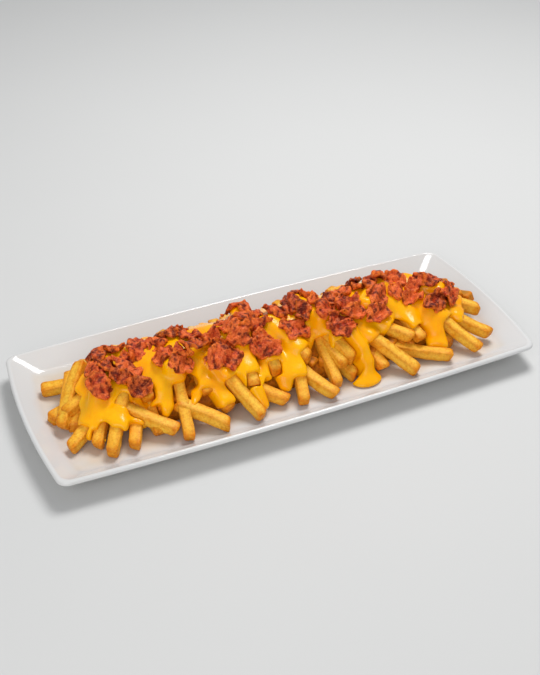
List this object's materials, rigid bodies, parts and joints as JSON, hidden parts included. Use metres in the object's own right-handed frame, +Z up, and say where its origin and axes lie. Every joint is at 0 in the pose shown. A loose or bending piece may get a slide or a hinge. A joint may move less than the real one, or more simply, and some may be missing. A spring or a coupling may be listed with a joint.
{
  "type": "cheese fries",
  "caption": "Long white rectangular platter with a ridge of chunky fried potato sticks under poured yellow cheese sauce, topped with crumbled bacon.",
  "frame": {"origin": "centre of the footprint, on the surface that the foot ring of the platter stands on", "axes": "+X along the long side of the platter, +Y across it towards the back, +Z up"},
  "size_m": [0.4, 0.167, 0.0642],
  "materials": {
    "platter": "gloss",
    "fries": "matte",
    "cheese": "gloss",
    "bacon": "satin"
  },
  "bodies": {
    "root": {"platter": "platter", "fries": "fries", "cheese": "cheese", "bacon_01": "bacon", "bacon_02": "bacon", "bacon_03": "bacon", "bacon_04": "bacon", "bacon_05": "bacon", "bacon_06": "bacon", "bacon_07": "bacon", "bacon_08": "bacon", "bacon_09": "bacon", "bacon_10": "bacon", "bacon_11": "bacon", "bacon_12": "bacon", "bacon_13": "bacon", "bacon_14": "bacon", "bacon_15": "bacon", "bacon_16": "bacon", "bacon_17": "bacon", "bacon_18": "bacon", "bacon_19": "bacon", "bacon_20": "bacon", "bacon_21": "bacon", "bacon_22": "bacon", "bacon_23": "bacon", "bacon_24": "bacon", "bacon_25": "bacon", "bacon_26": "bacon", "bacon_27": "bacon", "bacon_28": "bacon", "bacon_29": "bacon", "bacon_30": "bacon", "bacon_31": "bacon", "bacon_32": "bacon", "bacon_33": "bacon", "bacon_34": "bacon", "bacon_35": "bacon", "bacon_36": "bacon", "bacon_37": "bacon", "bacon_38": "bacon", "bacon_39": "bacon", "bacon_40": "bacon", "bacon_41": "bacon", "bacon_42": "bacon", "bacon_43": "bacon", "bacon_44": "bacon", "bacon_45": "bacon", "bacon_46": "bacon", "bacon_47": "bacon", "bacon_48": "bacon", "bacon_49": "bacon", "bacon_50": "bacon", "bacon_51": "bacon", "bacon_52": "bacon", "bacon_53": "bacon", "bacon_54": "bacon", "bacon_55": "bacon", "bacon_56": "bacon"}
  },
  "joints": []
}
